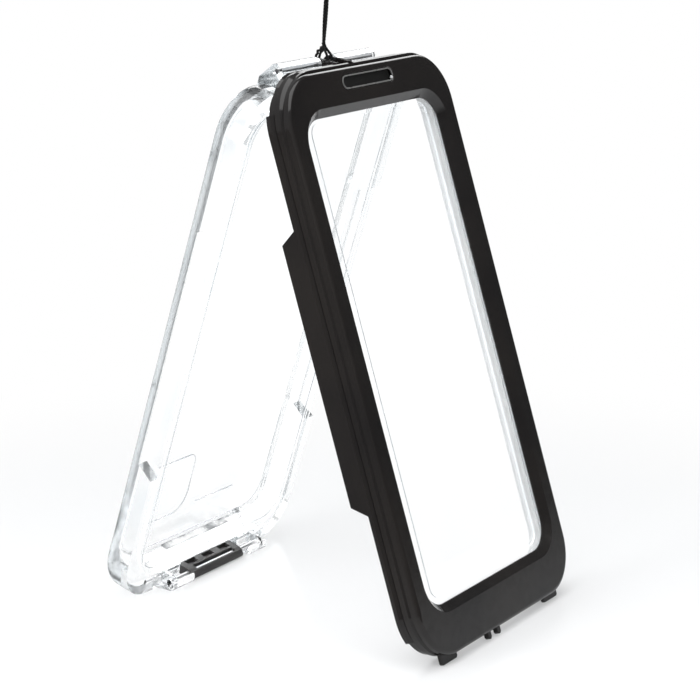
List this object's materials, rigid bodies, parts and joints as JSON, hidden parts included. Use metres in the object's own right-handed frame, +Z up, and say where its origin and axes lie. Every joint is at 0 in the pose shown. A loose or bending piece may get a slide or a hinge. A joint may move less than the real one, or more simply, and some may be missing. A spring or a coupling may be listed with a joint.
{
  "type": "waterproof phone case",
  "caption": "Hinged waterproof case for a small touch phone: clear back shell, black frame with clear window, seal, lever latch and lanyard, opened and stood up like a tent.",
  "frame": {"origin": "on the floor under the open case, midway across its width and midway between the front of the cover and the back of the shell", "axes": "+Z up towards the hinge, -Y out of the side of the black cover, +Y out of the side of the clear shell, X along the hinge pin"},
  "size_m": [0.0768, 0.1036, 0.1843],
  "materials": {
    "clear_shell": "polished clear polycarbonate",
    "clear_window": "polished clear",
    "clear_lever": "polished clear polycarbonate",
    "black_frame": "gloss black",
    "black_slider": "satin dark grey",
    "bond_film": "clear adhesive film",
    "pale_rubber": "satin translucent silicone",
    "black_rubber": "matte silicone",
    "membrane": "matte fine film",
    "steel": "bright drawn",
    "black_cord": "twisted thread"
  },
  "bodies": {
    "shell": {"back_shell": "clear_shell", "hinge_pin": "steel", "latch_pivot_pin": "steel", "lanyard_cord": "black_cord", "lanyard_hitch": "black_cord", "lanyard_end_knot": "black_cord"},
    "cover": {"front_frame": "black_frame", "window_pane": "clear_window", "bond_ring": "bond_film", "cavity_liner": "pale_rubber", "seal_ring": "black_rubber", "earpiece_membrane": "membrane"},
    "latch": {"latch_lever": "clear_lever", "latch_bar": "steel"},
    "lock": {"lock_slider": "black_slider"}
  },
  "joints": [
    {"name": "cover_hinge", "type": "hinge", "parent": "shell", "child": "cover", "pos_m": [-0.0016, 0.00241, 0.14234], "axis": [-1, 0, 0], "range_deg": [-35.12, 80]},
    {"name": "latch_pivot", "type": "hinge", "parent": "shell", "child": "latch", "pos_m": [0, 0.04875, 0.00318], "axis": [1, 0, 0], "range_deg": [0, 95]},
    {"name": "lock_slide", "type": "slide", "parent": "latch", "child": "lock", "axis": [1, 0, 0], "range_m": [0, 0.0022]}
  ]
}
